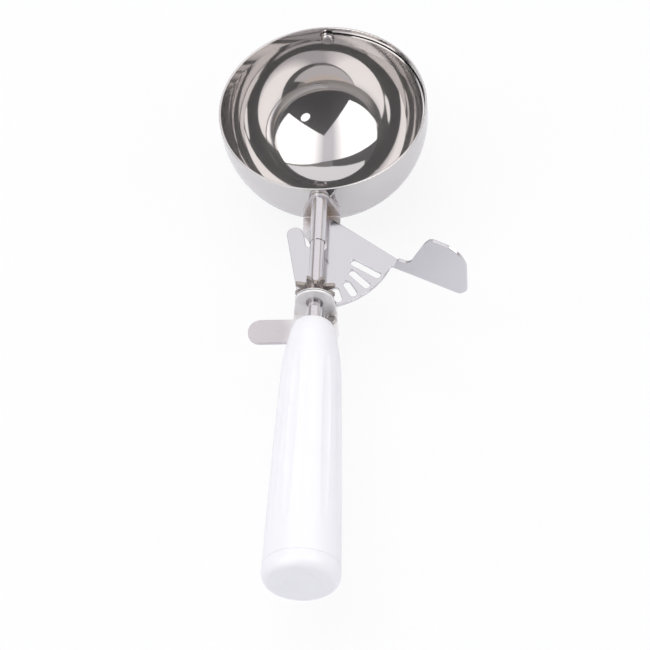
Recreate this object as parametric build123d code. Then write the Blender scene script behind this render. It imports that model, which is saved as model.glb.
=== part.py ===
"""Lever ice cream scoop (thumb-lever disher): every piece as its own solid.

Row frame, millimetres: origin at the centre of the bowl's rim, +Z up out of the bowl,
+Y from the handle towards the bowl's far wall, +X towards the thumb paddle.
The scraper shaft lies along Y, at AXIS_Z below the rim.
"""
from build123d import *
from math import acos, atan2, cos, degrees, hypot, inf, pi, radians, sin, sqrt
import os

# ---------------------------------------------------------------- driving dimensions
# Bowl: a half sphere on the shaft's axis, with a short straight wall up to the rim.
BOWL_R = 38.0            # inside radius
BOWL_WALL = 0.8
RIM_RISE = 5.0           # rim above the shaft's axis
RIM_EDGE = 0.2           # rounding of both rim edges
AXIS_Z = -RIM_RISE
BOWL_R_OUT = BOWL_R + BOWL_WALL

# Fits
RUN = 0.06               # radial clearance of a turning fit
SNUG = 0.02              # radial clearance of a fixed fit
LAY = 0.04               # gap between faces that slide on each other

# Scraper
BLADE_GAP = 0.3          # between blade and bowl
BLADE_THICK = 0.6
BLADE_HALF = 4.1         # half width at the middle
BLADE_TIP_HALF = 2.2     # half width beside the eyes
EYE_R = 3.0
BLADE_REST = -4.0        # degrees from +X about +Y at rest (negative is down)
BLADE_R_OUT = BOWL_R - BLADE_GAP
BLADE_R_IN = BLADE_R_OUT - BLADE_THICK
FAR_PIN_R = 1.5
SPIGOT_R = 1.6

# Lever: its pivot's station sets the sleeve, the gear train, the bracket and the handle behind it
PIVOT_Y = -BOWL_R_OUT - 16.4
LEVER_TOP = AXIS_Z - 6.0
LEVER_THICK = 1.2
LEVER_BOTTOM = LEVER_TOP - LEVER_THICK
SECTOR_R = 28.3
SECTOR_LEFT = -12.5      # ends of the sector's edge, degrees from -Y towards +X
SECTOR_RIGHT = 68.4
SLOT_WIDTH = 2.7
SLOT_PITCH = 13.0        # degrees
SLOT_R_OUT = SECTOR_R - 1.25
SLOT_LONG = (6.55, 6.55, 6.55, 7.55, 10.35, 12.85)   # from the left slot to the right one
PIVOT_PIN_R = 1.5
NECK_ANGLE = 69.2        # inner corner of the neck, where the paddle stands, degrees from -Y towards +X
PADDLE_ANGLE = -27.0     # direction of the paddle's foot, degrees from +X
PADDLE_TOP = 14.2
EDGE_R = 0.2             # rounding that tumbling leaves on the edges of the sheet pieces

# Return spring, coiled round the spacer that holds the lever off the frame
SPACER_R = 2.4
WIRE_R = 0.25
SPRING_R = SPACER_R + WIRE_R + 0.35  # middle of the wire
SPRING_ROOM = 2.1        # from the strip up to the lever
WIRE_BEND_R = 0.4
STRIP_HOOK = (-2.5, SPRING_R)        # from the lever's pivot, in plan
LEVER_HOOK = (1.2, -SPRING_R - 2.1)
HOOK_HOLE_R = WIRE_R + 0.2

# Frame (strip and front ear) and tang bracket (rear ear and flat), riveted one on the other
SHEET = 1.2              # frame
PLATE = 1.4              # bracket
STRIP_TOP = LEVER_BOTTOM - SPRING_ROOM
PLATE_TOP = STRIP_TOP + PLATE
EAR_Y = PIVOT_Y - SECTOR_R - 0.3     # rear ear's face towards the bowl
PLATE_Y = EAR_Y - PLATE
EAR_R = 7.0
EAR_LOW_LEFT = 8.2       # half widths of the rear ear at its foot
EAR_LOW_RIGHT = 7.5
STRIP_HALF = 3.6
STRIP_REAR_HALF = 7.2
STRIP_REAR = PLATE_Y - 10.4
REST_FRONT = PLATE_Y - 1.7           # finger rest
REST_BACK = PLATE_Y - 11.7
REST_END = -24.4
FOOT_HALF = 6.8
FRONT_BEND_R = 0.7       # inside radii of the bends
REAR_BEND_R = 0.4
RIVET_SPOTS = [(5.2, PLATE_Y - 2.55), (-5.6, PLATE_Y - 7.6)]
RIVET_R = 1.3
RIVET_HEAD_R = 2.1

# Shaft, its sleeve and what sits on its rear end
SHAFT_FRONT_R = 2.1      # inside the sleeve
SLEEVE_R = SHAFT_FRONT_R + 0.8
FRONT_EAR_R = SLEEVE_R + 0.6         # front ear's crown round the sleeve
SLEEVE_END = PIVOT_Y - 3.8
SHAFT_R = 2.6            # bare length
SEAT_R = SHAFT_R - 0.4   # under pinion, hub and rear ear
HUB_R = SEAT_R + 0.85
HUB_LONG = 3.7
RING_THICK = 0.55
STUB_END = PLATE_Y - 2.9

# Pinion: one tooth every 45 degrees
TEETH = 8
PINION_TIP_R = 7.6
PINION_ROOT_R = 4.55
PINION_THICK = 1.4
PINION_Y = EAR_Y + HUB_LONG + PINION_THICK       # face towards the bowl
TOOTH_PHASE = 16.0       # degrees from -Z towards +X, of the tooth in mesh at rest

# Handle
TANG_R = 3.0
TANG_Y = STUB_END - 0.4
TANG_FOOT_END = TANG_Y - 3.7
NOSE_Y = TANG_FOOT_END - 2.4
GRIP_LONG = 99.7
SEAM_Y = NOSE_Y - GRIP_LONG
BUTT_Y = SEAM_Y - 6.2
BUTT_R = 13.5            # at the seam between grip and cap
SEAT_Y = SEAM_Y + 5.8    # floor of the butt's recess
RECESS_R = 6.5
FLUTES = 12
FLUTE_R = 6.5            # radius of the cutter that leaves each shallow flute
FLUTE_FRONT = (NOSE_Y - 0.18 * GRIP_LONG, 0.06)  # y where a flute starts, and its depth there
FLUTE_REAR = (NOSE_Y - 0.862 * GRIP_LONG, 0.16)
FLUTE_PHASE = 8.0        # degrees from +Z towards +X of the first flute
NUT_ACROSS = 8.0
TAIL_R = TANG_R - 0.5

# Outer profile of the grip: (y, radius); the nose in millimetres, the long part in shares of the grip
GRIP_PROFILE = [(NOSE_Y - back, radius) for back, radius in (
    (0.0, 5.0), (0.4, 6.1), (1.4, 7.1), (3.9, 8.0), (7.4, 8.75), (11.4, 9.45), (15.4, 10.15))]
GRIP_PROFILE += [(NOSE_Y - share * GRIP_LONG, BUTT_R - less) for share, less in (
    (0.215, 2.85), (0.325, 2.3), (0.455, 1.7), (0.721, 0.8), (0.892, 0.3), (1.0, 0.0))]


# ---------------------------------------------------------------- helpers
def along_y(radius, y_from, y_to, x=0.0, z=AXIS_Z):
    """A round bar along Y between two stations."""
    middle = (y_from + y_to) / 2
    bar = Cylinder(radius, abs(y_to - y_from))
    return Pos(x, middle, z) * Rot(90, 0, 0) * bar


def tube_y(outer, inner, y_from, y_to):
    """A tube along the shaft's axis."""
    return along_y(outer, y_from, y_to) - along_y(inner, y_from - 1, y_to + 1)


def slab(face, z_low, thickness):
    """A flat sheet piece cut to an outline drawn in plan."""
    return Pos(0, 0, z_low) * extrude(face, thickness)


def upright(face, y_low, thickness):
    """A sheet piece standing across Y; the outline is drawn in X and Z, its face looks to -Y."""
    return Pos(0, y_low + thickness, 0) * Rot(90, 0, 0) * extrude(face, thickness)


def tumbled(face, thickness, left_of=inf, above=-inf):
    """A sheet piece with the edges of both faces rounded, where they lie left of and above two lines."""
    sheet = extrude(face, thickness)
    rims = sheet.edges().group_by(Axis.Z)
    rims = [edge for edge in (*rims[0], *rims[-1]) if edge.center().X < left_of and edge.center().Y > above]
    return fillet(rims, EDGE_R)


def polygon(points):
    """A face through the given corners."""
    return make_face(Polyline(*points, close=True))


def rounded(face, spots, radius):
    """A face with the corners at these points rounded."""
    for spot in spots:
        corner = face.vertices().sort_by_distance((*spot, 0))[0]
        face = fillet(corner, radius)
    return face


def turned(profile):
    """A body of revolution about the shaft's axis, from (y, radius) points."""
    start, end = profile[0][0], profile[-1][0]
    points = [(0, start)] + [(r, y) for y, r in profile] + [(0, end)]
    body = revolve(polygon(points), Axis.Y, 360)
    return Pos(0, 0, AXIS_Z) * body


def beside_pivot(x, y):
    """A plan point given from the lever's pivot."""
    return (x, PIVOT_Y + y)


def on_plan(radius, angle):
    """A plan point at a distance from the lever's pivot, the angle counted from -Y towards +X."""
    return (radius * sin(radians(angle)), PIVOT_Y - radius * cos(radians(angle)))


# ---------------------------------------------------------------- bowl and scraper
def bowl():
    """Half-sphere cup with a short straight wall, and a hole at each end of the shaft's axis."""
    def shell(radius, top):
        dome = Sphere(radius) & Pos(0, 0, -radius) * Box(3 * radius, 3 * radius, 2 * radius)
        return Pos(0, 0, AXIS_Z) * (dome + Pos(0, 0, top / 2) * Cylinder(radius, top))
    cup = shell(BOWL_R_OUT, RIM_RISE) - shell(BOWL_R, RIM_RISE + 1)
    rim_edges = cup.edges().filter_by_position(Axis.Z, -0.01, 0.01)
    cup = fillet(rim_edges, RIM_EDGE)
    cup -= along_y(FAR_PIN_R + SNUG, BOWL_R - 3, BOWL_R + 3)
    cup -= along_y(SLEEVE_R + SNUG, -BOWL_R - 3, -BOWL_R + 3)
    return cup


def bowl_pivot_rivet():
    """Rivet through the far wall, with a low dome outside and a head inside the blade's eye."""
    outer_seat = BOWL_R_OUT
    inner_seat = BLADE_R_IN - LAY
    shank = along_y(FAR_PIN_R, inner_seat - 0.5, outer_seat)
    outside = along_y(2.6, outer_seat, outer_seat + 0.9)
    inside = along_y(2.6, inner_seat - 1.2, inner_seat)
    outside = fillet(outside.edges().filter_by(GeomType.CIRCLE).sort_by(Axis.Y)[-1], 0.6)
    inside = fillet(inside.edges().filter_by(GeomType.CIRCLE).sort_by(Axis.Y)[0], 0.8)
    # the inner head's back follows the curved eye
    inside &= Pos(0, 0, AXIS_Z) * Sphere(inner_seat)
    return shank + outside + inside


def scraper_blade():
    """Curved strip, widest at its middle, with an eye at each end of the axis."""
    ball = Sphere(BLADE_R_OUT) - Sphere(BLADE_R_IN)
    reach = BLADE_R_OUT + 1
    shoulder = 0.86 * BLADE_R_OUT
    outline = make_face(Spline((-reach, BLADE_TIP_HALF), (-shoulder, 0.78 * BLADE_HALF), (0, BLADE_HALF),
                               (shoulder, 0.78 * BLADE_HALF), (reach, BLADE_TIP_HALF))
                        + Line((reach, BLADE_TIP_HALF), (reach, -BLADE_TIP_HALF))
                        + Spline((reach, -BLADE_TIP_HALF), (shoulder, -0.78 * BLADE_HALF), (0, -BLADE_HALF),
                                 (-shoulder, -0.78 * BLADE_HALF), (-reach, -BLADE_TIP_HALF))
                        + Line((-reach, -BLADE_TIP_HALF), (-reach, BLADE_TIP_HALF)))
    # The outline is drawn along Y and Z and swept towards +X.
    band = Plane.YZ * extrude(outline, reach)
    eyes = along_y(EYE_R, -reach, reach, z=0) & ball
    strip = (band & ball) + eyes
    strip -= along_y(FAR_PIN_R + RUN, 0, reach, z=0)
    strip -= along_y(SPIGOT_R, -reach, 0, z=0)
    return Pos(0, 0, AXIS_Z) * Rot(0, -BLADE_REST, 0) * strip


def scraper_shaft():
    """Stepped shaft: peened spigot in the blade's eye, sleeve length, bare length, gear seat, stub."""
    peen = -BLADE_R_IN
    head = along_y(2.4, peen, peen + 0.9)
    head = fillet(head.edges().filter_by(GeomType.CIRCLE).sort_by(Axis.Y)[-1], 0.6)
    head &= Pos(0, 0, AXIS_Z) * Sphere(BLADE_R_IN)
    front = along_y(SHAFT_FRONT_R, SLEEVE_END - LAY, peen) - Pos(0, 0, AXIS_Z) * Sphere(BLADE_R_OUT)
    shaft = front + along_y(SPIGOT_R, SLEEVE_END, peen + 0.5) + head
    shaft += along_y(SHAFT_R, PINION_Y, SLEEVE_END - LAY)
    stub = along_y(SEAT_R, STUB_END, PINION_Y)
    stub = chamfer(stub.edges().filter_by(GeomType.CIRCLE).sort_by(Axis.Y)[0], 0.3)
    return shaft + stub


def shaft_sleeve():
    """Bearing tube fixed in the bowl's wall and the front ear."""
    tube = tube_y(SLEEVE_R, SHAFT_FRONT_R + RUN, SLEEVE_END, -BOWL_R + 1)
    inside = Pos(0, 0, AXIS_Z) * Sphere(BOWL_R)
    tube -= inside
    return chamfer(tube.edges().filter_by(GeomType.CIRCLE).sort_by(Axis.Y)[:2][-1:], 0.2)


# ---------------------------------------------------------------- gear train
def tooth_outline():
    """One pinion tooth pointing along +Y of the drawing, from the hub out."""
    half_root, half_mid, half_tip = 1.25, 0.95, 0.5
    mid = 6.2
    return [(-half_root, 0), (-half_root, PINION_ROOT_R), (-half_mid, mid), (-half_tip, PINION_TIP_R - 0.25),
            (-0.25, PINION_TIP_R), (0.25, PINION_TIP_R), (half_tip, PINION_TIP_R - 0.25), (half_mid, mid),
            (half_root, PINION_ROOT_R), (half_root, 0)]


def pinion():
    """Star wheel with rounded teeth, pressed on the shaft's seat."""
    face = Circle(PINION_ROOT_R)
    tooth = polygon(tooth_outline())
    for n in range(TEETH):
        # the drawing's +Y becomes -Z turned towards +X by the tooth's angle
        face += Rot(0, 0, 180 + TOOTH_PHASE + n * 360 / TEETH) * tooth
    face -= Circle(SEAT_R)
    wheel = upright(face, PINION_Y - PINION_THICK, PINION_THICK)
    return Pos(0, 0, AXIS_Z) * wheel


def pinion_hub():
    """Round hub between the pinion and the rear ear."""
    return tube_y(HUB_R, SEAT_R, EAR_Y + LAY, PINION_Y - PINION_THICK)


def shaft_retaining_ring():
    """Open ring on the stub, against the bracket's ear."""
    ring = tube_y(HUB_R, SEAT_R, PLATE_Y - LAY - RING_THICK, PLATE_Y - LAY)
    return ring - Pos(0, PLATE_Y, AXIS_Z - HUB_R) * Box(1.6, 3, 2 * HUB_R - 2)


# ---------------------------------------------------------------- frame and bracket
def ear_face(half_low_left, half_low_right, z_low, crown):
    """Arched outline in X and Z, round over the shaft, straight sides spreading downwards."""
    sides = polygon([(-crown, AXIS_Z), (crown, AXIS_Z), (half_low_right, z_low), (-half_low_left, z_low)])
    return Pos(0, AXIS_Z) * Circle(crown) + sides


def strip_outline():
    """Plan of the frame's flat: wide foot under the front ear, narrow waist, wide rear under the bracket."""
    front = -BOWL_R_OUT - SHEET - FRONT_BEND_R
    right = [(FOOT_HALF, front), (FOOT_HALF, front - 6.8), (STRIP_HALF, front - 11.3),
             (STRIP_HALF, EAR_Y + 4.8), (STRIP_REAR_HALF, EAR_Y - 2.0), (STRIP_REAR_HALF, STRIP_REAR)]
    left = [(-x, y) for x, y in reversed(right)]
    return polygon(right + left)


def bend(x_from, x_to, y, z, inside, thickness):
    """Quarter bend between a flat on the -Y side and an ear on the +Y side of the bend's centre."""
    outer = inside + thickness
    ring = Circle(outer) - Circle(inside)
    quarter = ring & Pos(outer / 2, -outer / 2) * Rectangle(outer, outer)
    # the drawing's X runs along Y and its Y along Z
    return Pos(x_from, y, z) * (Plane.YZ * extrude(quarter, x_to - x_from))


def drilled(body, spots, radius, z_low):
    """A body with round holes cut down through it at plan positions."""
    for spot in spots:
        body -= Pos(*spot, z_low) * Cylinder(radius, 6)
    return body


def frame():
    """Bent sheet: front ear on the bowl, foot, and a flat strip that runs back under the bracket."""
    front = -BOWL_R_OUT
    rise = STRIP_TOP + FRONT_BEND_R
    low = STRIP_TOP - SHEET
    flat = slab(strip_outline(), low, SHEET)
    curve = bend(-FOOT_HALF, FOOT_HALF, front - SHEET - FRONT_BEND_R, rise, FRONT_BEND_R, SHEET)
    outline = ear_face(FOOT_HALF, FOOT_HALF, rise, FRONT_EAR_R)
    ear = upright(outline, front - SHEET, SHEET + 2.0)
    ear -= along_y(SLEEVE_R + SNUG, front - 2 * SHEET, front + 3.0)
    wall = Sphere(BOWL_R_OUT) + Pos(0, 0, RIM_RISE / 2) * Cylinder(BOWL_R_OUT, RIM_RISE)
    ear -= Pos(0, 0, AXIS_Z) * wall
    body = drilled(flat + curve + ear, [(0, PIVOT_Y)], PIVOT_PIN_R + SNUG, low)
    body = drilled(body, [beside_pivot(*STRIP_HOOK)], HOOK_HOLE_R, low)
    return drilled(body, RIVET_SPOTS, RIVET_R + SNUG, low)


def bracket_plate_outline():
    """Plan of the bracket's flat: finger rest to the left, short wing to the right."""
    front = PLATE_Y - REAR_BEND_R
    right = EAR_LOW_RIGHT
    face = polygon([(-EAR_LOW_LEFT, front), (-EAR_LOW_LEFT, REST_FRONT), (REST_END, REST_FRONT),
                    (REST_END, REST_BACK), (right - 2.0, REST_BACK), (right + 0.1, REST_BACK + 1.7),
                    (right + 0.8, REST_BACK + 4.1), (right, front)])
    corners = face.vertices().sort_by(Axis.X)[:2]
    face = fillet(corners, 0.46 * (REST_FRONT - REST_BACK))
    inner = face.vertices().filter_by_position(Axis.X, -EAR_LOW_LEFT - 0.1, -EAR_LOW_LEFT + 0.1)
    return fillet(inner.sort_by(Axis.Y)[0], 0.7)


def tang_bracket():
    """Bent sheet: rear ear, finger rest and seat for the tang."""
    low = PLATE_TOP - PLATE
    rise = PLATE_TOP + REAR_BEND_R
    outline = ear_face(EAR_LOW_LEFT, EAR_LOW_RIGHT, rise, EAR_R)
    ear = Pos(0, EAR_Y, 0) * Rot(90, 0, 0) * tumbled(outline, PLATE, above=rise + 0.1)
    ear -= along_y(SEAT_R + RUN, PLATE_Y - 1.0, EAR_Y + 1.0)
    curve = bend(-EAR_LOW_LEFT, EAR_LOW_RIGHT, PLATE_Y - REAR_BEND_R, rise, REAR_BEND_R, PLATE)
    flat = slab(bracket_plate_outline(), low, PLATE)
    rest = [edge for edge in flat.edges() if edge.center().X < -EAR_LOW_LEFT - 0.2 and edge.length > 0.7
            and abs(edge.center().Z - low - PLATE / 2) > 0.1]
    flat = fillet(rest, EDGE_R)
    return drilled(flat + curve + ear, RIVET_SPOTS, RIVET_R + SNUG, low)


def bracket_rivets():
    """Two tubular rivets through bracket and strip, their rolled heads on top."""
    low = STRIP_TOP - SHEET
    shank = Pos(0, 0, (PLATE_TOP + low) / 2) * Cylinder(RIVET_R, PLATE_TOP - low)
    collar = Cylinder(RIVET_HEAD_R, 0.6)
    collar = Pos(0, 0, PLATE_TOP + 0.3) * fillet(collar.edges().sort_by(Axis.Z)[-1], 0.25)
    roll = Cylinder(RIVET_HEAD_R - 0.1, 0.9) - Pos(0, 0, 0.3) * Cylinder(1.25, 0.9)
    rims = roll.edges().filter_by(GeomType.CIRCLE).filter_by_position(Axis.Z, 0.44, 0.46)
    roll = Pos(0, 0, PLATE_TOP + 0.6 + 0.45) * fillet(rims, 0.33)
    head = collar + roll
    foot = Pos(0, 0, low - 0.3) * Cylinder(2.0, 0.6)
    foot = fillet(foot.edges().filter_by(GeomType.CIRCLE).sort_by(Axis.Z)[0], 0.4)
    rivet = shank + head + foot
    return Compound([Pos(*spot, 0) * rivet for spot in RIVET_SPOTS])


# ---------------------------------------------------------------- lever
def neck_corner():
    """Inner corner of the neck, just outside the sector's edge; the paddle stands on it."""
    return on_plan(SECTOR_R + 0.8, NECK_ANGLE)


def lever_outline():
    """Plan of the lever's flat: finger, notch beside the pivot, sector edge, neck."""
    left = on_plan(SECTOR_R, SECTOR_LEFT)
    right = on_plan(SECTOR_R, SECTOR_RIGHT)
    arc = ThreePointArc(left, on_plan(SECTOR_R, (SECTOR_LEFT + SECTOR_RIGHT) / 2), right)
    x, y = neck_corner()
    neck = [right, (x, y), (x + 4.3, y - 2.15), (x + 5.4, y - 0.05), (x + 1.7, y + 2.85)]
    spots = [(3.3, 12.1), (0.6, 11.6), (-3.3, 2.6), (-3.4, -0.4), (-3.9, -1.8), (-5.0, -0.2), (-5.4, 2.4)]
    notch = [beside_pivot(*spot) for spot in (*spots, (-6.2, 5.2))]
    lines = Polyline(*neck, *notch)
    finger = beside_pivot(-12.15, 4.5)
    tip = ThreePointArc(notch[-1], beside_pivot(-9.0, 7.9), finger)
    face = make_face(arc + lines + tip + Line(finger, left))
    face = rounded(face, [notch[4], notch[3], notch[5]], 0.5)
    return rounded(face, [left], 0.8)


def slot(length, angle):
    """Round-ended slot that points at the pivot."""
    middle = on_plan(SLOT_R_OUT - length / 2, angle)
    return Pos(*middle) * Rot(0, 0, 90 + angle) * SlotOverall(length, SLOT_WIDTH)


def paddle():
    """Upright thumb paddle on the neck, its outline drawn along the foot line and Z."""
    low, top = LEVER_BOTTOM, PADDLE_TOP
    foot = [(0.0, low), (27.0, low), (29.9, low + 3.4)]
    crown = [(30.5, top - 7.2), (28.5, top - 2.4), (24.0, top)]
    rise = [(16.6, top), (13.8, top - 4.2), (7.6, top - 18.2)]
    rise += [(5.8, low + 6.2), (2.4, low + 5.9), (1.6, low + 5.0)]
    face = polygon(foot + crown + rise)
    face = rounded(face, foot[1:], 2.4)
    face = rounded(face, crown + rise[1:2], 8.0)
    face = rounded(face, rise[:1], 3.5)
    face = rounded(face, rise[2:4], 2.0)
    sheet = tumbled(face, LEVER_THICK, above=low + 0.1)
    return Pos(*neck_corner(), 0) * Rot(0, 0, PADDLE_ANGLE) * Pos(0, LEVER_THICK, 0) * Rot(90, 0, 0) * sheet


def lever():
    """One bent sheet: slotted sector, finger, neck and thumb paddle."""
    face = lever_outline()
    rest = TOOTH_PHASE * SLOT_PITCH * TEETH / 360
    for n, length in enumerate(SLOT_LONG):
        face -= slot(length, rest + (n - 1) * SLOT_PITCH)
    # the neck keeps square edges, where the paddle is bent up from it
    flat = Pos(0, 0, LEVER_BOTTOM) * tumbled(face, LEVER_THICK, left_of=neck_corner()[0] - 1.0)
    flat = drilled(flat, [(0, PIVOT_Y)], PIVOT_PIN_R + RUN, LEVER_BOTTOM)
    flat = drilled(flat, [beside_pivot(*LEVER_HOOK)], HOOK_HOLE_R, LEVER_BOTTOM)
    return flat + paddle()


def lever_pivot_rivet():
    """Rivet through lever, spacer and strip, headed on both sides."""
    low = STRIP_TOP - SHEET
    shank = Pos(0, PIVOT_Y, (LEVER_TOP + low) / 2) * Cylinder(PIVOT_PIN_R, LEVER_TOP - low)
    head = Pos(0, PIVOT_Y, LEVER_TOP + LAY + 0.55) * Cylinder(2.8, 1.1)
    head = fillet(head.edges().filter_by(GeomType.CIRCLE).sort_by(Axis.Z)[-1], 0.6)
    neck = Pos(0, PIVOT_Y, LEVER_TOP + LAY) * Cylinder(PIVOT_PIN_R, 2 * LAY)
    foot = Pos(0, PIVOT_Y, low - 0.4) * Cylinder(2.6, 0.8)
    foot = fillet(foot.edges().filter_by(GeomType.CIRCLE).sort_by(Axis.Z)[0], 0.5)
    return shank + neck + head + foot


def lever_spacer():
    """Spacer between the frame's strip and the lever; the spring coils round it."""
    tall = LEVER_BOTTOM - LAY - STRIP_TOP
    ring = Cylinder(SPACER_R, tall) - Cylinder(PIVOT_PIN_R + SNUG, tall + 1)
    return Pos(0, PIVOT_Y, STRIP_TOP + tall / 2) * ring


def return_spring():
    """Torsion coil; its lower leg hooks down into the strip and its upper leg up into the lever."""
    low_leg = -STRIP_HOOK[0]
    reach = hypot(*LEVER_HOOK)
    high_leg = sqrt(reach ** 2 - SPRING_R ** 2)
    # the coil starts at +Y of the pivot and ends where a tangent runs to the lever's hook
    end_angle = degrees(atan2(LEVER_HOOK[1], LEVER_HOOK[0]) + acos(SPRING_R / reach))
    turns = 2 + (90 - end_angle) / 360
    around = 2 * pi * SPRING_R
    pitch = (SPRING_ROOM - 2 * WIRE_R - 2 * LAY) / (turns + (low_leg + high_leg) / around)
    low = STRIP_TOP + LAY + WIRE_R + pitch * low_leg / around
    coil = Pos(0, PIVOT_Y, low) * Rot(0, 0, 90) * Helix(pitch, pitch * turns, SPRING_R, lefthand=True)
    lower = coil @ 0 - (coil % 0) * low_leg
    upper = coil @ 1 + (coil % 1) * high_leg
    into_strip = (lower.X, lower.Y, STRIP_TOP - SHEET + 0.2)
    into_lever = (upper.X, upper.Y, LEVER_TOP - 0.2)
    first = FilletPolyline(into_strip, lower, coil @ 0, radius=WIRE_BEND_R)
    last = FilletPolyline(coil @ 1, upper, into_lever, radius=WIRE_BEND_R)
    path = Wire([*first.edges(), *coil.edges(), *last.edges()])
    return sweep(Plane(origin=path @ 0, z_dir=path % 0) * Circle(WIRE_R), path=path)


# ---------------------------------------------------------------- handle
def handle_tang():
    """Round bar up the handle's bore, on a foot that stands on the bracket's flat."""
    top = PLATE_TOP
    rod = along_y(TANG_R, SEAT_Y + 0.5, TANG_Y)
    tail = along_y(TAIL_R, SEAT_Y - 5.2, SEAT_Y + 0.5)
    height = AXIS_Z - top
    foot = Box(2 * TANG_R, TANG_Y - TANG_FOOT_END, height)
    return rod + tail + Pos(0, (TANG_Y + TANG_FOOT_END) / 2, top + height / 2) * foot


def flute_end(y, depth):
    """End of the flute cutter's axis that leaves a floor this deep below the grip's surface."""
    for (y_near, r_near), (y_far, r_far) in zip(GRIP_PROFILE[:-1], GRIP_PROFILE[1:]):
        if y_far <= y <= y_near:
            surface = r_near + (r_far - r_near) * (y - y_near) / (y_far - y_near)
    return Vector(0, y, surface - depth + FLUTE_R)


def handle_grip():
    """Tapered plastic handle, bored for the tang, with a recess at the butt and shallow flutes."""
    body = turned(GRIP_PROFILE)
    body -= along_y(TANG_R + SNUG, SEAT_Y + 0.5, NOSE_Y + 1)
    body -= along_y(TAIL_R + 0.2, SEAT_Y - 1, SEAT_Y + 1)
    body -= along_y(RECESS_R, SEAM_Y - 1, SEAT_Y)
    front = flute_end(*FLUTE_FRONT)
    run = flute_end(*FLUTE_REAR) - front
    cutter = Plane(origin=front, z_dir=run) * Pos(0, 0, run.length / 2) * Cylinder(FLUTE_R, run.length)
    for n in range(FLUTES):
        body -= Pos(0, 0, AXIS_Z) * Rot(0, FLUTE_PHASE + n * 360 / FLUTES, 0) * cutter
    return body


def handle_cap():
    """End cap with a spigot ring in the butt's recess and a shallow ring on its end face."""
    cap = turned([(SEAM_Y, BUTT_R), (BUTT_Y + 3.5, BUTT_R + 0.1), (BUTT_Y + 1.3, BUTT_R - 0.15),
                  (BUTT_Y + 0.3, BUTT_R - 0.6), (BUTT_Y, BUTT_R - 1.1)])
    spigot = tube_y(RECESS_R - SNUG, RECESS_R - 1.2, SEAM_Y, SEAT_Y - 2.5)
    groove = tube_y(RECESS_R, RECESS_R - 0.5, BUTT_Y - 1, BUTT_Y + 0.35)
    return cap + spigot - groove


def tang_washer():
    """Washer under the nut."""
    return tube_y(RECESS_R - 1.5, TAIL_R + SNUG, SEAT_Y - 1.0, SEAT_Y)


def tang_nut():
    """Hex nut on the tang's tail."""
    outline = RegularPolygon(NUT_ACROSS / 2, 6, major_radius=False) - Circle(TAIL_R)
    nut = upright(outline, SEAT_Y - 4.6, 3.6)
    return Pos(0, 0, AXIS_Z) * nut


PARTS = {
    "bowl": bowl,
    "bowl_pivot_rivet": bowl_pivot_rivet,
    "scraper_blade": scraper_blade,
    "scraper_shaft": scraper_shaft,
    "shaft_sleeve": shaft_sleeve,
    "pinion": pinion,
    "pinion_hub": pinion_hub,
    "shaft_retaining_ring": shaft_retaining_ring,
    "frame": frame,
    "tang_bracket": tang_bracket,
    "lever": lever,
    "lever_pivot_rivet": lever_pivot_rivet,
    "lever_spacer": lever_spacer,
    "bracket_rivets": bracket_rivets,
    "return_spring": return_spring,
    "handle_tang": handle_tang,
    "handle_grip": handle_grip,
    "handle_cap": handle_cap,
    "tang_washer": tang_washer,
    "tang_nut": tang_nut,
}

os.makedirs("parts", exist_ok=True)
for name, make in PARTS.items():
    piece = make()
    piece.label = name
    export_step(piece, f"parts/{name}.step")
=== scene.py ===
"""Lever ice cream scoop: finishes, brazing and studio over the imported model."""
import math

import bmesh
import bpy
from mathutils import Euler, Matrix, Vector


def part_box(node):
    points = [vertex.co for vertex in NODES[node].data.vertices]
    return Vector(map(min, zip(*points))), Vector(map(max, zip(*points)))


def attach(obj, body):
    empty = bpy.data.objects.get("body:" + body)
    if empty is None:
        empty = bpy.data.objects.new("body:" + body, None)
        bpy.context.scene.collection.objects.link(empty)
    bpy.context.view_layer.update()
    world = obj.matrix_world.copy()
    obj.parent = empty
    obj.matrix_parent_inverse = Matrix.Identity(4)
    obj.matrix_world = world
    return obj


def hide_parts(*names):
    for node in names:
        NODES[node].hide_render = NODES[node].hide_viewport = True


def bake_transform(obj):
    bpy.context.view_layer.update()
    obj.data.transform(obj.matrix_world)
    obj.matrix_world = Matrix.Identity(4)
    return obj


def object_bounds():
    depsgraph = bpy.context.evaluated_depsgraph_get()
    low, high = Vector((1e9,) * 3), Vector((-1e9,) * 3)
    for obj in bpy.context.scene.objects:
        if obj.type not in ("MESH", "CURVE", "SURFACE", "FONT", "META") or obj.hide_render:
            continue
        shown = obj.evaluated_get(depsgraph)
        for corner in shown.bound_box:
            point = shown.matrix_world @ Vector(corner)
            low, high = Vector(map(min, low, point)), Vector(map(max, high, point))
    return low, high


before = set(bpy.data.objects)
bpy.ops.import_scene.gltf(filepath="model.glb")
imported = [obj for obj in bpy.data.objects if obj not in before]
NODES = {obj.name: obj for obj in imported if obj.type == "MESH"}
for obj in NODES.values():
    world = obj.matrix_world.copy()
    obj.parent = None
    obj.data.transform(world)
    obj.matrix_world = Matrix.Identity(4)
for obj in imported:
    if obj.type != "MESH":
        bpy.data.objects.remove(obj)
CAD_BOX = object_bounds()

bl_info = {
    "name": "Lever ice cream scoop",
    "version": (1, 0, 0),
    "blender": (4, 5, 0),
    "location": "View3D > Sidebar > Scoop",
    "description": "Finishes, brazing and studio for the lever ice cream scoop",
    "category": "Object",
}

# Everything is in metres; MM turns millimetres into them.
MM = 0.001
WELD = 0.001 * MM        # vertices nearer than this become one

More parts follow.
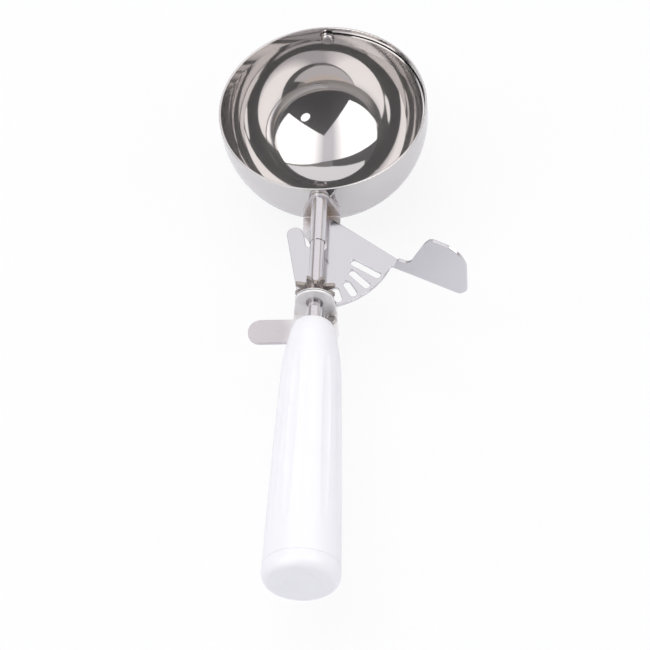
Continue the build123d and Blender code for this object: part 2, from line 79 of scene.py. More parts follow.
# ---------------------------------------------------------------- finishes
LINE_STRETCH = 20        # polishing lines are this many times as long as wide
LINE_DEPTH = 0.02 * MM
LINE_STRENGTH = 0.02
SMEAR = 25 * MM          # width of the smears that a buffing wheel leaves
PATTERN_RANGE = (0.6, 1.4)       # lines and smears added up mostly lie between these
ROUGHNESS_SHARES = (0.75, 1.3)   # and stand for these shares of a finish's roughness
HAZE_ROUGHNESS = 0.42
HAZE_IOR = 1.75
WIRE_ROUGHNESS = 0.2
BRAZE_ROUGHNESS = 0.3
BLADE_SHARE = 2.8        # of the bowl's roughness
PINION_SHARE = 0.75      # of the bracket's roughness
RIVET_SHARE = 0.6        # of the turned parts' roughness
CLOUD = 1 / 60           # width of the faint clouds in the plastic, about 17 mm
CLOUD_SHARES = (0.9544, 0.9542, 0.9638, 1.0)     # of the plastic's colour in the middle of a cloud
ORANGE_PEEL = 1.2 * MM   # from wave to wave
PEEL_DEPTH = 0.03 * MM
PEEL_STRENGTH = 0.05
PLASTIC_IOR = 1.49
# the same share serves the real stain and the patch of painted shade
STAIN_OR_SHADE_CORE = 0.45        # share of a stain's radius that has its full colour

# (colour, centre, radius) of a real stain or of a patch of painted shade
# painted shade: the flat of the finger rest is painted darker, for the duller light that its face reflects
REST_PAINTED_SHADE = ("#CAC5C8", (-19.5 * MM, -92.5 * MM, -13.0 * MM), 16 * MM)
FOOT_STAIN = ("#C0B4AB", (0.0, -40.5 * MM, -12.0 * MM), 8 * MM)
# (colour, y of its middle, half width, height above which it runs) of the dark line painted on the ear's cut
# edge, a painted reflection
EAR_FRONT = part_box("tang_bracket")[1].y
EDGE_PAINTED_REFLECTION = ("#6E6A68", EAR_FRONT - 0.6 * MM, 0.22 * MM, -9.0 * MM)
EDGE_REFLECTION_CORE = 0.6          # share of its half width that has its full colour

# ---------------------------------------------------------------- end cap
SPIGOT_IN = 5.3 * MM     # radii of the spigot in the grip's recess
SPIGOT_OUT = 6.48 * MM
# (inset from the cap's girth, distance behind the seam) of the small edge at the seam with the grip
SEAM_EDGE = [(0.25 * MM, 0), (0.1 * MM, 0.15 * MM)]
EDGE_STRETCH = 1.35      # the rounded edge is this many times as long as wide
# (radius, depth) of the dish in the end face
DISH = [(6.8 * MM, 0.1 * MM), (6.2 * MM, 0.45 * MM), (5.6 * MM, 0.5 * MM), (0, 0.5 * MM)]
CREASE = math.radians(40)        # edges sharper than this stay sharp
CAP_SIDES = 96

# ---------------------------------------------------------------- brazing
CROWN_MARGIN = 0.6 * MM  # the ear's crown stands this far out from the sleeve
BRAZE_DEEP = 0.3 * MM    # how far the fillet reaches into ear and bowl
BRAZE_START = 0.1 * MM   # the bowl curves away, so the fillet starts this far behind its nearest point
BRAZE_STEPS = 6          # in the fillet's curve
BRAZE_SIDES = 64

# ---------------------------------------------------------------- studio
ROOM_R = 6.0
FLOOR_HALF = 6.0
FLOOR_GAP = 0.05 * MM    # under the scoop's lowest point
FLOOR_WHITE = 0.86       # share of plain white in the floor, as the camera sees it
FLOOR_WHITE_MIRRORED = 0.35      # and as the steel shows it
WORLD_LEVEL = 0.5        # as light on the object; the camera and the steel see 1
TOP_LAMP_SIZE = 1.4
TOP_LAMP_PLACE = (-0.2, 0.1, 1.3)
TOP_LAMP_AIM = (0, -0.08, 0)
FILL_LAMP_SIZE = 1.0
FILL_LAMP_AIM = (0, -0.1, 0)
# (name, share of the fill power, place) of each side lamp
FILL_LAMPS = [("lamp_left", 1.0, (-1.2, -0.3, 0.7)),
              ("lamp_right", 1.2, (1.3, -0.3, 0.8)),
              ("lamp_front", 0.85, (0.3, -1.3, 0.8))]
# wall colours by height, in front of the scoop and on the camera's side
FRONT_WALL = [(0.0, "#E6E6EA"), (0.28, "#CFCECF"), (0.42, "#ABA8A6"), (0.6, "#98948F"), (0.8, "#8B8885"),
              (1.0, "#757375")]
BACK_WALL = [(0.0, "#DDD2C8"), (0.36, "#D2C6BC"), (0.39, "#464547"), (1.0, "#454446")]
WALL_LEVEL = 1.2
# the two mix between these shares of the room's radius along Y
WALL_CHANGE = (-0.3, 0.2)
# softbox colours from the gap in the middle out to the far ends
CLOTH = [(0.03, "#A8A6AA"), (0.13, "#FFFDFC"), (0.42, "#FFFDFC"), (0.66, "#E0DEE2"), (1.0, "#C4C2C6")]
CLOTH_REACH = 2.75       # slope at which the cloth's colours end
# corners of the panels overhead, as slopes from the scoop's centre; neighbours share corners
GAP_LEFT, GAP_RIGHT = (-0.08, 0.265), (0.10, 0.305)
GAP_LEFT_NEAR, GAP_RIGHT_NEAR = (-0.08, -0.52), (0.10, -0.27)
CARD_LEFT, CARD_RIGHT = (-0.85, 1.1), (1.6, 1.1)
SOFTBOXES = {
    "softbox_left": [GAP_LEFT, (-2.5, 0.0), (-2.5, -3.75), GAP_LEFT_NEAR],
    "softbox_right": [GAP_RIGHT, (2.7, 1.42), (2.7, -1.59), GAP_RIGHT_NEAR],
}
# (name, its paint, colour, level, corners) of each plain panel
CARDS = [
    ("ceiling_strip", "ceiling_paint", "#DCDAE0", 1.15,
     [GAP_LEFT, GAP_RIGHT, GAP_RIGHT_NEAR, GAP_LEFT_NEAR]),
    ("front_card", "pale_card", "#FAF8FB", 1.1,
     [(-0.85, 0.52), CARD_LEFT, CARD_RIGHT, (1.6, 0.98), (0.3, 0.46), (-0.1, 0.42)]),
    ("warm_card", "warm_card", "#FFF3EA", 1.12, [CARD_LEFT, (-1.3, 2.6), (2.0, 2.6), CARD_RIGHT]),
    ("dark_flag", "black_cloth", "#59575A", 1.0,
     [(-0.08, 0.27), (-1.8, 0.085), (-2.4, 0.4), (-2.0, 1.3), (-0.87, 0.9), (-0.87, 0.51), (-0.1, 0.41)]),
]
ROUND_LAMP_RISE = math.radians(45.4)
ROUND_LAMP_TURN = math.radians(140)
ROUND_LAMP_R = 0.14      # as a slope
ROUND_LAMP_SIDES = 32
ROUND_LAMP_HEIGHT = 0.98         # share of the panels' height
LENS = 166.15            # millimetres, on a sensor 36 mm wide
CAMERA_PLACE = (0.104755, -0.699047, 0.863838)
CAMERA_TURN = math.radians(9.46)
CAMERA_TILT = math.radians(35.17)
CAMERA_ROLL = math.radians(-8.83)


# ---------------------------------------------------------------- colours and nodes
def linear(hex_colour):
    """An sRGB hex colour as linear RGBA."""
    channels = [int(hex_colour[i:i + 2], 16) / 255 for i in (1, 3, 5)]
    return (*[c / 12.92 if c <= 0.04045 else ((c + 0.055) / 1.055) ** 2.4 for c in channels], 1.0)


def add(tree, kind, inputs=None, stops=(), **settings):
    """Adds a node: fields and named inputs by keyword, inputs linked or set, and a ramp's colours."""
    node = tree.nodes.new(kind)
    for name, value in settings.items():
        if hasattr(node, name):
            setattr(node, name, value)
        else:
            node.inputs[name.replace("_", " ")].default_value = value
    for name, value in (inputs or {}).items():
        if isinstance(value, bpy.types.NodeSocket):
            tree.links.new(value, node.inputs[name])
        else:
            node.inputs[name].default_value = value
    if stops:
        ramp = node.color_ramp
        while len(ramp.elements) < len(stops):
            ramp.elements.new(0.5)
        for element, (position, colour) in zip(ramp.elements, stops):
            element.position = position
            element.color = linear(colour)
    return node


def new_material(name):
    """A material without nodes, and its tree."""
    material = bpy.data.materials.new(name)
    material.use_nodes = True
    material.node_tree.nodes.clear()
    return material, material.node_tree


def dress(material, *names):
    """Gives a material to CAD nodes."""
    for name in names:
        for slot in NODES[name].material_slots:
            slot.material = material


# ---------------------------------------------------------------- steel and plastic
def polished_steel(name, colour, roughness, grain_mm, grain_axis, haze=0.0, metallic=1.0, stain_or_shade=None,
                   painted_edge_reflection=None):
    """Polished stainless steel: a reflection softened by polishing lines, which run along grain_axis."""
    material, tree = new_material(name)
    place = add(tree, "ShaderNodeTexCoord").outputs["Object"]
    # lines a few tenths of a millimetre apart
    across = 1 / (grain_mm * MM)
    scale = [across, across, across]
    scale[grain_axis] = across / LINE_STRETCH
    stretched = add(tree, "ShaderNodeMapping", {"Vector": place, "Scale": scale})
    lines = add(tree, "ShaderNodeTexNoise", {"Vector": stretched.outputs["Vector"]}, Scale=1.0, Detail=3.0)
    smears = add(tree, "ShaderNodeTexNoise", {"Vector": place}, Scale=1 / SMEAR, Detail=2.0)
    both = add(tree, "ShaderNodeMath", {0: lines.outputs["Fac"], 1: smears.outputs["Fac"]},
               operation="ADD")
    least, most = [roughness * share for share in ROUGHNESS_SHARES]
    rough = add(tree, "ShaderNodeMapRange", {"Value": both.outputs["Value"]},
                From_Min=PATTERN_RANGE[0], From_Max=PATTERN_RANGE[1], To_Min=least, To_Max=most)
    bump = add(tree, "ShaderNodeBump", {"Height": lines.outputs["Fac"]},
               Strength=LINE_STRENGTH, Distance=LINE_DEPTH)
    base = tuple(colour)
    # a real stain, or painted shade, round a point
    if stain_or_shade:
        base = stained_or_shaded(tree, place, base, *stain_or_shade)
    # a dark line painted along a cut edge, as a painted dark reflection
    if painted_edge_reflection:
        base = paint_edge_reflection(tree, place, base, *painted_edge_reflection)
    shader = add(tree, "ShaderNodeBsdfPrincipled", {
        "Base Color": base, "Roughness": rough.outputs["Result"], "Normal": bump.outputs["Normal"]},
        Metallic=metallic)
    if haze:
        # scratches too fine to see one by one spread a pale haze over the dark reflections
        shader.inputs["Coat Weight"].default_value = haze
        shader.inputs["Coat Roughness"].default_value = HAZE_ROUGHNESS
        shader.inputs["Coat IOR"].default_value = HAZE_IOR
    add(tree, "ShaderNodeOutputMaterial", {"Surface": shader.outputs["BSDF"]})
    return material


def stained_or_shaded(tree, place, base, colour, centre, radius):
    """A base colour that turns into another one round a point: a real stain, or a patch of painted shade."""
    away = add(tree, "ShaderNodeVectorMath", {0: place, 1: centre}, operation="DISTANCE")
    fade = add(tree, "ShaderNodeMapRange", {"Value": away.outputs["Value"]},
               interpolation_type="SMOOTHSTEP",
               From_Min=radius * STAIN_OR_SHADE_CORE, From_Max=radius, To_Min=1.0, To_Max=0.0)
    mix = add(tree, "ShaderNodeMix", {"Factor": fade.outputs["Result"], "A": base, "B": linear(colour)},
              data_type="RGBA")
    return mix.outputs["Result"]


def paint_edge_reflection(tree, place, base, colour, y_middle, half_width, z_above):
    """A base colour with a dark line painted along the middle of a sheet's cut edge, as a painted dark
    reflection.
    """
    parts = add(tree, "ShaderNodeSeparateXYZ", {"Vector": place})
    off = add(tree, "ShaderNodeMath", {0: parts.outputs["Y"], 1: y_middle}, operation="SUBTRACT")
    aside = add(tree, "ShaderNodeMath", {0: off.outputs["Value"]}, operation="ABSOLUTE")
    band = add(tree, "ShaderNodeMapRange", {"Value": aside.outputs["Value"]},
               From_Min=half_width * EDGE_REFLECTION_CORE, From_Max=half_width, To_Min=1.0, To_Max=0.0)
    high = add(tree, "ShaderNodeMath", {0: parts.outputs["Z"], 1: z_above}, operation="GREATER_THAN")
    share = add(tree, "ShaderNodeMath", {0: band.outputs["Result"], 1: high.outputs["Value"]},
                operation="MULTIPLY")
    mix = add(tree, "ShaderNodeMix", {"Factor": share.outputs["Value"], "A": base, "B": linear(colour)},
              data_type="RGBA")
    return mix.outputs["Result"]


def moulded_plastic(name, colour, roughness):
    """Injection-moulded polypropylene: semi-gloss, faintly clouded, with an orange-peel surface."""
    material, tree = new_material(name)
    place = add(tree, "ShaderNodeTexCoord").outputs["Object"]
    cloud = add(tree, "ShaderNodeTexNoise", {"Vector": place}, Scale=1 / CLOUD, Detail=3.0)
    cloudy = [level * share for level, share in zip(colour, CLOUD_SHARES)]
    mix = add(tree, "ShaderNodeMix", {"Factor": cloud.outputs["Fac"], "A": tuple(colour), "B": cloudy},
              data_type="RGBA")
    peel = add(tree, "ShaderNodeTexNoise", {"Vector": place}, Scale=1 / ORANGE_PEEL, Detail=2.0)
    bump = add(tree, "ShaderNodeBump", {"Height": peel.outputs["Fac"]},
               Strength=PEEL_STRENGTH, Distance=PEEL_DEPTH)
    shader = add(tree, "ShaderNodeBsdfPrincipled",
                 {"Base Color": mix.outputs["Result"], "Normal": bump.outputs["Normal"]},
                 Metallic=0.0, Roughness=roughness, IOR=PLASTIC_IOR)
    add(tree, "ShaderNodeOutputMaterial", {"Surface": shader.outputs["BSDF"]})
    return material


def glow(name, colour, level):
    """A plain emissive material for a reflector."""
    material, tree = new_material(name)
    shader = add(tree, "ShaderNodeEmission", Color=linear(colour), Strength=level)
    add(tree, "ShaderNodeOutputMaterial", {"Surface": shader.outputs["Emission"]})
    return material


# ---------------------------------------------------------------- meshes
def new_piece(context, name, work, material, smooth=True):
    """Turns bmesh work into an object at the origin, with one material."""
    mesh = bpy.data.meshes.new(name)
    work.to_mesh(mesh)
    work.free()
    if smooth:
        mesh.shade_smooth()
    mesh.materials.append(material)
    piece = bpy.data.objects.new(name, mesh)
    context.scene.collection.objects.link(piece)
    return piece


def spun(outline, axis_z, steps, closed=False):
    """A body of revolution about the scoop's long axis, from (distance from the axis, y) points."""
    work = bmesh.new()
    points = [work.verts.new((x, y, axis_z)) for x, y in outline]
    first = 0 if closed else 1
    line = [work.edges.new((points[n - 1], points[n])) for n in range(first, len(points))]
    bmesh.ops.spin(work, geom=[*points, *line], cent=(0, 0, axis_z), axis=(0, 1, 0),
                   angle=math.tau, steps=steps, use_merge=True, use_duplicate=False)
    bmesh.ops.remove_doubles(work, verts=work.verts, dist=WELD)
    bmesh.ops.recalc_face_normals(work, faces=work.faces)
    return work


# ---------------------------------------------------------------- sizes and colours a user would change
class ScoopFinish(bpy.types.PropertyGroup):
    """Colours and gloss of the scoop's finishes, and the sizes of its rounded cap and its brazing."""
    bowl_colour: bpy.props.FloatVectorProperty(
        name="Bowl colour", description="Colour of the buffed bowl's steel",
        default=linear("#CECBCA"), size=4, min=0.0, max=1.0, subtype="COLOR")
    blade_colour: bpy.props.FloatVectorProperty(
        name="Blade colour", description="Colour of the scraper blade's steel",
        default=linear("#E3E1E1"), size=4, min=0.0, max=1.0, subtype="COLOR")
    lever_colour: bpy.props.FloatVectorProperty(
        name="Lever colour", description="Colour of the polished lever's steel",
        default=linear("#D4D3D6"), size=4, min=0.0, max=1.0, subtype="COLOR")
    bracket_colour: bpy.props.FloatVectorProperty(
        name="Bracket colour", description="Colour of the tumbled bracket, apart from its rubbed finger rest",
        default=linear("#F6F5F6"), size=4, min=0.0, max=1.0, subtype="COLOR")
    turned_colour: bpy.props.FloatVectorProperty(
        name="Turned colour", description="Colour of shaft, sleeve, hub and the other turned parts",
        default=linear("#D8D5D8"), size=4, min=0.0, max=1.0, subtype="COLOR")
    handle_colour: bpy.props.FloatVectorProperty(
        name="Handle colour", description="Colour of the grip",
        default=linear("#F6F5F9"), size=4, min=0.0, max=1.0, subtype="COLOR")
    cap_colour: bpy.props.FloatVectorProperty(
        name="Cap colour", description="Colour of the end cap",
        default=linear("#F5F4F8"), size=4, min=0.0, max=1.0, subtype="COLOR")
    steel_roughness: bpy.props.FloatProperty(
        name="Bowl roughness", description="Roughness of the buffed bowl; the blade's follows it",
        default=0.045, min=0.0, max=1.0, subtype="FACTOR")
    sheet_roughness: bpy.props.FloatProperty(
        name="Sheet roughness", description="Roughness of the polished lever",
        default=0.14, min=0.0, max=1.0, subtype="FACTOR")
    bracket_roughness: bpy.props.FloatProperty(
        name="Bracket roughness",
        description="Roughness of the tumbled bracket and frame; the pinion's follows it",
        default=0.32, min=0.0, max=1.0, subtype="FACTOR")
    turned_roughness: bpy.props.FloatProperty(
        name="Turned roughness",
        description="Roughness of shaft and sleeve; the bracket's rivets follow it",
        default=0.2, min=0.0, max=1.0, subtype="FACTOR")
    plastic_roughness: bpy.props.FloatProperty(
        name="Plastic roughness", description="Roughness of the handle",
        default=0.34, min=0.0, max=1.0, subtype="FACTOR")
    cap_rounding: bpy.props.FloatProperty(
        name="Cap rounding", description="Width of the end cap's rounded edge",
        default=3.0 * MM, unit="LENGTH")
    braze_width: bpy.props.FloatProperty(
        name="Braze width", description="Leg length of the brazing fillet round the ear's crown",
        default=0.35 * MM, unit="LENGTH")


class ScoopStudio(bpy.types.PropertyGroup):
    """Lamps and reflectors."""
    lamp_power: bpy.props.FloatProperty(
        name="Lamp power", description="Power of the large overhead lamp", default=9.85, unit="POWER")
    fill_power: bpy.props.FloatProperty(
        name="Fill power", description="Power of the left fill lamp; the other two follow it",
        default=3.0, unit="POWER")
    softbox_level: bpy.props.FloatProperty(
        name="Softbox level", description="Brightness of the softboxes seen in the steel",
        default=2.1, min=0.0)
    height: bpy.props.FloatProperty(
        name="Reflector height", description="Height of the softboxes over the scoop",
        default=3.0, unit="LENGTH")


# ---------------------------------------------------------------- the scoop's operators
class SCOOP_OT_bowl(bpy.types.Operator):
    """Finish of the bowl and the scraper blade."""
    bl_idname = "scoop.bowl"
    bl_label = "Bowl and blade"

    def execute(self, context):
        finish = context.scene.scoop_finish
        # spun from sheet, then buffed to a mirror: shows softboxes as sharp shapes
        bowl = polished_steel("spun_stainless_mirror", finish.bowl_colour, finish.steel_roughness,
                              grain_mm=0.5, grain_axis=1, haze=0.85)
        # rolled strip: its reflections are softer than the bowl's
        blade = polished_steel("rolled_stainless_polished", finish.blade_colour,
                               finish.steel_roughness * BLADE_SHARE, grain_mm=0.3, grain_axis=1)
        dress(bowl, "bowl")
        dress(blade, "scraper_blade")
        return {"FINISHED"}


class SCOOP_OT_sheet(bpy.types.Operator):
    """Finishes of the lever, the bracket, the frame and the pinion."""
    bl_idname = "scoop.sheet"
    bl_label = "Sheet parts"

    def execute(self, context):
        finish = context.scene.scoop_finish
        dull = finish.bracket_roughness
        # stamped, then polished flat: an even grey sheen that mirrors the shaft beside it
        plain = polished_steel("stamped_stainless_polished", finish.lever_colour,
                               finish.sheet_roughness, grain_mm=0.25, grain_axis=0)
        # tumbled after bending: its fine pits scatter about half the light, so that its faces look evenly
        # pale; the finger rest is painted darker as painted shade, and a dark line painted along the ear's
        # cut edge is a painted reflection
        satin = polished_steel("tumbled_stainless_satin", finish.bracket_colour, dull,
                               grain_mm=0.25, grain_axis=0, metallic=0.5,
                               stain_or_shade=REST_PAINTED_SHADE, painted_edge_reflection=EDGE_PAINTED_REFLECTION)
        # sintered gear steel: duller; its darker, a little brown colour is partly the steel's own and partly
        # painted shade
        gear = polished_steel("sintered_steel_painted_shade", linear("#ADA6A1"), dull * PINION_SHARE,
                              grain_mm=0.3, grain_axis=0)
        # tumbled less than the bracket; torch heat leaves a straw-brown tint at the brazed foot
        heated = polished_steel("stamped_stainless_heat_tinted", linear("#DEDCE0"), dull,
                                grain_mm=0.25, grain_axis=0, metallic=0.65, stain_or_shade=FOOT_STAIN)
        dress(plain, "lever")
        dress(satin, "tang_bracket")
        dress(gear, "pinion")
        dress(heated, "frame")
        return {"FINISHED"}


class SCOOP_OT_turned(bpy.types.Operator):
    """Finishes of shaft, sleeve, hub, rivets, tang and nut."""
    bl_idname = "scoop.turned"
    bl_label = "Turned parts"

    def execute(self, context):
        finish = context.scene.scoop_finish
        # turned on a lathe and polished: a bright streak along each bar, with fine lines across it
        turned = polished_steel("turned_stainless_polished", finish.turned_colour,
                                finish.turned_roughness, grain_mm=0.2, grain_axis=0)
        dress(turned, "bowl_pivot_rivet", "scraper_shaft", "shaft_sleeve", "pinion_hub",
              "lever_pivot_rivet", "lever_spacer", "handle_tang", "tang_washer", "tang_nut")
        # headed cold after polishing: darker, so that the rolled rims stand out from the satin bracket
        headed = polished_steel("cold_headed_stainless", linear("#B4B0AF"),
                                finish.turned_roughness * RIVET_SHARE, grain_mm=0.2, grain_axis=0)
        dress(headed, "bracket_rivets")
        return {"FINISHED"}


class SCOOP_OT_wire(bpy.types.Operator):
    """Finish of the retaining ring, and a copy of the return spring in the same wire."""
    bl_idname = "scoop.wire"
    bl_label = "Spring wire"

    def execute(self, context):
        # drawn wire: a little darker and duller than the polished parts
        wire = polished_steel("drawn_stainless_wire", linear("#B9B7BA"), WIRE_ROUGHNESS,
                              grain_mm=0.15, grain_axis=1)
        dress(wire, "shaft_retaining_ring")
        spring = NODES["return_spring"]
        work = bmesh.new()
        work.from_mesh(spring.data)
        work.transform(spring.matrix_world)
        bmesh.ops.remove_doubles(work, verts=work.verts, dist=WELD)
        piece = new_piece(context, "wound_spring", work, wire)
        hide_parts("return_spring")
        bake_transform(piece)
        return {"FINISHED"}


class SCOOP_OT_handle(bpy.types.Operator):
    """Moulded finish of the grip."""
    bl_idname = "scoop.handle"
    bl_label = "Handle"

    def execute(self, context):
        finish = context.scene.scoop_finish
        # semi-gloss, as it comes from the mould: a soft highlight along the grip
        grip = moulded_plastic("moulded_polypropylene_white", finish.handle_colour,
                               finish.plastic_roughness)
        dress(grip, "handle_grip")
        return {"FINISHED"}


class SCOOP_OT_cap(bpy.types.Operator):
    """Moulded end cap with a well rounded edge and a shallow dish."""
    bl_idname = "scoop.cap"
    bl_label = "End cap"

    def execute(self, context):
        finish = context.scene.scoop_finish
        low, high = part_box("handle_cap")
        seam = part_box("handle_grip")[0].y
        girth = (high.x - low.x) / 2
        rounding = finish.cap_rounding
        spigot = [(0, seam), (SPIGOT_IN, seam), (SPIGOT_IN, high.y), (SPIGOT_OUT, high.y),
                  (SPIGOT_OUT, seam)]
        side = [(girth - inset, seam - behind) for inset, behind in SEAM_EDGE]
        side.append((girth, low.y + EDGE_STRETCH * rounding))
        turns = [math.radians(angle) for angle in range(10, 91, 10)]
        edge = [(girth - rounding * (1 - math.cos(turn)),
                 low.y + EDGE_STRETCH * rounding * (1 - math.sin(turn))) for turn in turns]
        dish = [(radius, low.y + depth) for radius, depth in DISH]
        # a shade darker than the grip, being a moulding of its own
        white = moulded_plastic("moulded_polypropylene_cap", finish.cap_colour,
                                finish.plastic_roughness)
        work = spun([*spigot, *side, *edge, *dish], (low.z + high.z) / 2, CAP_SIDES)
        piece = new_piece(context, "end_cap", work, white)
        piece.data.set_sharp_from_angle(angle=CREASE)
        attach(piece, "scoop_body")
        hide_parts("handle_cap")
        return {"FINISHED"}


class SCOOP_OT_braze(bpy.types.Operator):
    """Fillet of silver braze between the front ear's crown and the bowl."""
    bl_idname = "scoop.braze"
    bl_label = "Braze fillet"

    def execute(self, context):
        width = context.scene.scoop_finish.braze_width
        low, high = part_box("shaft_sleeve")
        radius = (high.x - low.x) / 2 + CROWN_MARGIN
        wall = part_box("bowl")[0].y + BRAZE_START
        turns = [math.pi / 2 * n / BRAZE_STEPS for n in range(BRAZE_STEPS + 1)]
        curve = [(radius + width * (1 - math.cos(turn)), wall - width * (1 - math.sin(turn)))
                 for turn in turns]
        outline = [(radius - BRAZE_DEEP, wall + BRAZE_DEEP), (radius - BRAZE_DEEP, wall - width), *curve,
                   (radius + width, wall + BRAZE_DEEP)]
        # silver braze, wiped clean: warmer, duller and darker than the steel beside it
        braze = polished_steel("silver_braze_wiped", linear("#A39C97"), BRAZE_ROUGHNESS,
                               grain_mm=0.4, grain_axis=0)
        work = spun(outline, (high.z + low.z) / 2, BRAZE_SIDES, closed=True)
        piece = new_piece(context, "braze_fillet", work, braze)
        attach(piece, "scoop_body")
        return {"FINISHED"}


# ---------------------------------------------------------------- stage
def only_in_reflections(piece):
    """Hides a stage piece from the camera, from diffuse light and from shadows."""
    piece.visible_camera = False
    piece.visible_diffuse = False
    piece.visible_shadow = False
    piece.visible_transmission = False


def panel(context, name, corners, height, material):
    """A flat stage panel overhead, its corners given as slopes, seen only in reflections."""
    work = bmesh.new()
    work.faces.new([work.verts.new((x * height, y * height, height)) for x, y in corners])
    piece = new_piece(context, name, work, material, smooth=False)
    only_in_reflections(piece)


def lamp(context, name, power, size, place, aim):
    """A square soft lamp that lights surfaces and isn't seen in them."""
    data = bpy.data.lights.new(name, "AREA")
    data.energy = power
    data.shape = "SQUARE"
    data.size = size
    piece = bpy.data.objects.new(name, data)
    piece.location = place
    piece.rotation_euler = (Vector(aim) - Vector(place)).to_track_quat("-Z", "Y").to_euler()
    piece.visible_glossy = False
    context.scene.collection.objects.link(piece)


class SCOOP_OT_stage(bpy.types.Operator):
    """Floor, world, reflectors, lamps and camera."""
    bl_idname = "scoop.stage"
    bl_label = "Stage"

    def execute(self, context):
        studio = context.scene.scoop_studio
        self.world(context)
        self.floor(context)
        self.walls(context)
        self.reflectors(context, studio.height, studio.softbox_level)
        lamp(context, "lamp_top", studio.lamp_power, TOP_LAMP_SIZE, TOP_LAMP_PLACE, TOP_LAMP_AIM)
        for name, share, place in FILL_LAMPS:
            lamp(context, name, studio.fill_power * share, FILL_LAMP_SIZE, place, FILL_LAMP_AIM)
        self.camera(context)
        context.scene.view_settings.view_transform = "Standard"
        return {"FINISHED"}

    def camera(self, context):
        """Long lens, high over the handle's end."""
        data = bpy.data.cameras.new("camera")
        data.lens = LENS
        data.sensor_width = 36.0
        data.sensor_fit = "HORIZONTAL"
        data.clip_start = 0.05
        data.clip_end = 20.0
        camera = bpy.data.objects.new("camera", data)
        context.scene.collection.objects.link(camera)
        turn = Euler((0, 0, CAMERA_TURN)).to_matrix()
        tilt = Euler((CAMERA_TILT, 0, 0)).to_matrix()
        roll = Euler((0, 0, CAMERA_ROLL)).to_matrix()
        camera.matrix_world = Matrix.Translation(CAMERA_PLACE) @ (turn @ tilt @ roll).to_4x4()
        context.scene.camera = camera

    def world(self, context):
        """White to the camera and in the steel, half as strong as light on the object."""
        world = bpy.data.worlds.new("studio")
        world.use_nodes = True
        tree = world.node_tree
        tree.nodes.clear()
        ray = add(tree, "ShaderNodeLightPath").outputs
        seen = add(tree, "ShaderNodeMath", {0: ray["Is Camera Ray"], 1: ray["Is Glossy Ray"]},
                   operation="MAXIMUM")
        seen = add(tree, "ShaderNodeMath", {0: seen.outputs["Value"], 1: ray["Is Transmission Ray"]},
                   operation="MAXIMUM")
        level = add(tree, "ShaderNodeMapRange", {"Value": seen.outputs["Value"]},
                    To_Min=WORLD_LEVEL, To_Max=1.0)
        back = add(tree, "ShaderNodeBackground", {"Strength": level.outputs["Result"]}, Color=(1, 1, 1, 1))
        add(tree, "ShaderNodeOutputWorld", {"Surface": back.outputs["Background"]})
        context.scene.world = world

    def floor(self, context):
        """Pale floor: nearly white to the camera, with a light shadow, and greyer in the steel."""
        material, tree = new_material("painted_floor")
        ray = add(tree, "ShaderNodeLightPath").outputs
        seen = add(tree, "ShaderNodeMath", {0: ray["Is Camera Ray"], 1: ray["Is Transmission Ray"]},
                   operation="MAXIMUM")
        plain = add(tree, "ShaderNodeMath", {0: seen.outputs["Value"], 1: FLOOR_WHITE},
                    operation="MULTIPLY")
        mirrored = add(tree, "ShaderNodeMath", {0: ray["Is Glossy Ray"], 1: FLOOR_WHITE_MIRRORED},
                       operation="MULTIPLY")
        share = add(tree, "ShaderNodeMath", {0: plain.outputs["Value"], 1: mirrored.outputs["Value"]},
                    operation="MAXIMUM")
        paint = add(tree, "ShaderNodeBsdfDiffuse", Color=linear("#F1F1F7"))
        white = add(tree, "ShaderNodeEmission", Strength=1.0)
        mix = add(tree, "ShaderNodeMixShader",
                  {0: share.outputs["Value"], 1: paint.outputs["BSDF"], 2: white.outputs["Emission"]})
        add(tree, "ShaderNodeOutputMaterial", {"Surface": mix.outputs["Shader"]})
        work = bmesh.new()
        bmesh.ops.create_grid(work, x_segments=1, y_segments=1, size=FLOOR_HALF)
        bmesh.ops.translate(work, verts=work.verts, vec=(0, 0, CAD_BOX[0].z - FLOOR_GAP))
        piece = new_piece(context, "floor", work, material, smooth=False)

    def walls(self, context):
        """Round room for the steel to show: pale at the foot, grey in front, dark on the camera's side."""
        material, tree = new_material("studio_walls")
        place = add(tree, "ShaderNodeTexCoord").outputs["Object"]
        parts = add(tree, "ShaderNodeSeparateXYZ", {"Vector": place})
        rise = add(tree, "ShaderNodeMapRange", {"Value": parts.outputs["Z"]}, From_Max=ROOM_R)
        front = add(tree, "ShaderNodeValToRGB", {"Fac": rise.outputs["Result"]}, stops=FRONT_WALL)
        back = add(tree, "ShaderNodeValToRGB", {"Fac": rise.outputs["Result"]}, stops=BACK_WALL)
        near, far = [share * ROOM_R for share in WALL_CHANGE]
        side = add(tree, "ShaderNodeMapRange", {"Value": parts.outputs["Y"]},
                   interpolation_type="SMOOTHSTEP", From_Min=near, From_Max=far)
        paint = add(tree, "ShaderNodeMix", {"Factor": side.outputs["Result"], "A": back.outputs["Color"],
                                            "B": front.outputs["Color"]}, data_type="RGBA")
        shader = add(tree, "ShaderNodeEmission", {"Color": paint.outputs["Result"]}, Strength=WALL_LEVEL)
        add(tree, "ShaderNodeOutputMaterial", {"Surface": shader.outputs["Emission"]})
        work = bmesh.new()
        bmesh.ops.create_icosphere(work, subdivisions=5, radius=ROOM_R)
        bmesh.ops.reverse_faces(work, faces=work.faces)
        piece = new_piece(context, "studio_walls", work, material)
        only_in_reflections(piece)

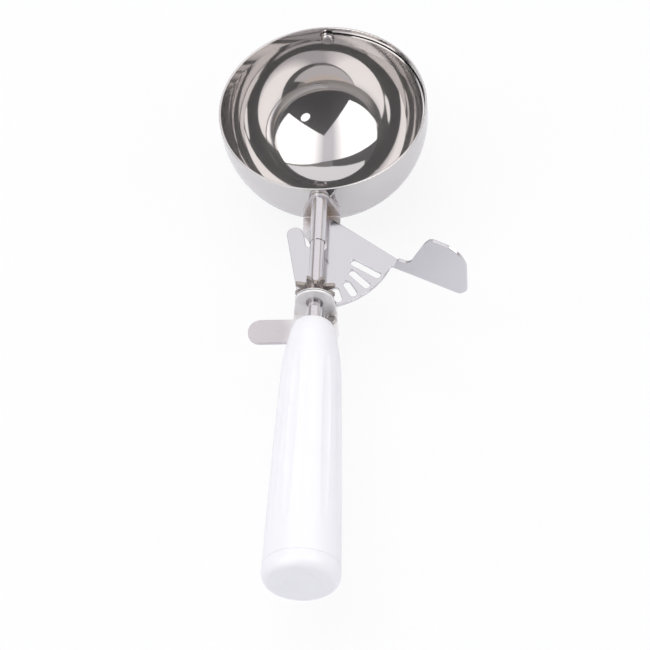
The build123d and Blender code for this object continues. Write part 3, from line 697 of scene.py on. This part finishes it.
    def reflectors(self, context, height, level):
        """Two softboxes with a strip between them, cards, a dark flag and one round lamp."""
        white = self.softbox_cloth(level, height)
        for name, corners in SOFTBOXES.items():
            panel(context, name, corners, height, white)
        for name, paint, colour, strength, corners in CARDS:
            panel(context, name, corners, height, glow(paint, colour, strength))
        slope = math.tan(math.radians(90) - ROUND_LAMP_RISE)
        middle = Vector((slope * math.sin(ROUND_LAMP_TURN), slope * math.cos(ROUND_LAMP_TURN)))
        turns = [math.tau * n / ROUND_LAMP_SIDES for n in range(ROUND_LAMP_SIDES)]
        ring = [(middle.x + ROUND_LAMP_R * math.cos(turn), middle.y + ROUND_LAMP_R * math.sin(turn))
                for turn in turns]
        panel(context, "round_lamp", ring, height * ROUND_LAMP_HEIGHT,
              glow("round_lamp_cloth", "#FFFFFF", level))

    def softbox_cloth(self, level, height):
        """Lit cloth that dims softly towards the gap between the softboxes and towards their far ends."""
        material, tree = new_material("softbox_cloth")
        place = add(tree, "ShaderNodeTexCoord").outputs["Object"]
        parts = add(tree, "ShaderNodeSeparateXYZ", {"Vector": place})
        aside = add(tree, "ShaderNodeMath", {0: parts.outputs["X"]}, operation="ABSOLUTE")
        reach = add(tree, "ShaderNodeMapRange", {"Value": aside.outputs["Value"]},
                    From_Max=CLOTH_REACH * height)
        cloth = add(tree, "ShaderNodeValToRGB", {"Fac": reach.outputs["Result"]}, stops=CLOTH)
        shader = add(tree, "ShaderNodeEmission", {"Color": cloth.outputs["Color"]}, Strength=level)
        add(tree, "ShaderNodeOutputMaterial", {"Surface": shader.outputs["Emission"]})
        return material


# ---------------------------------------------------------------- panel and registration
class SCOOP_PT_panel(bpy.types.Panel):
    """Sidebar panel of the scoop."""
    bl_label = "Lever ice cream scoop"
    bl_space_type = "VIEW_3D"
    bl_region_type = "UI"
    bl_category = "Scoop"

    def draw(self, context):
        column = self.layout.column()
        for group in (context.scene.scoop_finish, context.scene.scoop_studio):
            for name in group.bl_rna.properties.keys():
                if name not in {"rna_type", "name"}:
                    column.prop(group, name)
        for operator in OPERATORS:
            column.operator(operator.bl_idname)


OPERATORS = [SCOOP_OT_bowl, SCOOP_OT_sheet, SCOOP_OT_turned, SCOOP_OT_wire, SCOOP_OT_handle, SCOOP_OT_cap,
             SCOOP_OT_braze, SCOOP_OT_stage]
CLASSES = [ScoopFinish, ScoopStudio, *OPERATORS, SCOOP_PT_panel]


def register():
    for cls in CLASSES:
        bpy.utils.register_class(cls)
    bpy.types.Scene.scoop_finish = bpy.props.PointerProperty(type=ScoopFinish)
    bpy.types.Scene.scoop_studio = bpy.props.PointerProperty(type=ScoopStudio)


def unregister():
    del bpy.types.Scene.scoop_studio
    del bpy.types.Scene.scoop_finish
    for cls in reversed(CLASSES):
        bpy.utils.unregister_class(cls)


def main():
    register()
    bpy.ops.scoop.bowl()
    bpy.ops.scoop.sheet()
    bpy.ops.scoop.turned()
    bpy.ops.scoop.wire()
    bpy.ops.scoop.handle()
    bpy.ops.scoop.cap()
    bpy.ops.scoop.braze()
    bpy.ops.scoop.stage()


if __name__ == "__main__":
    main()
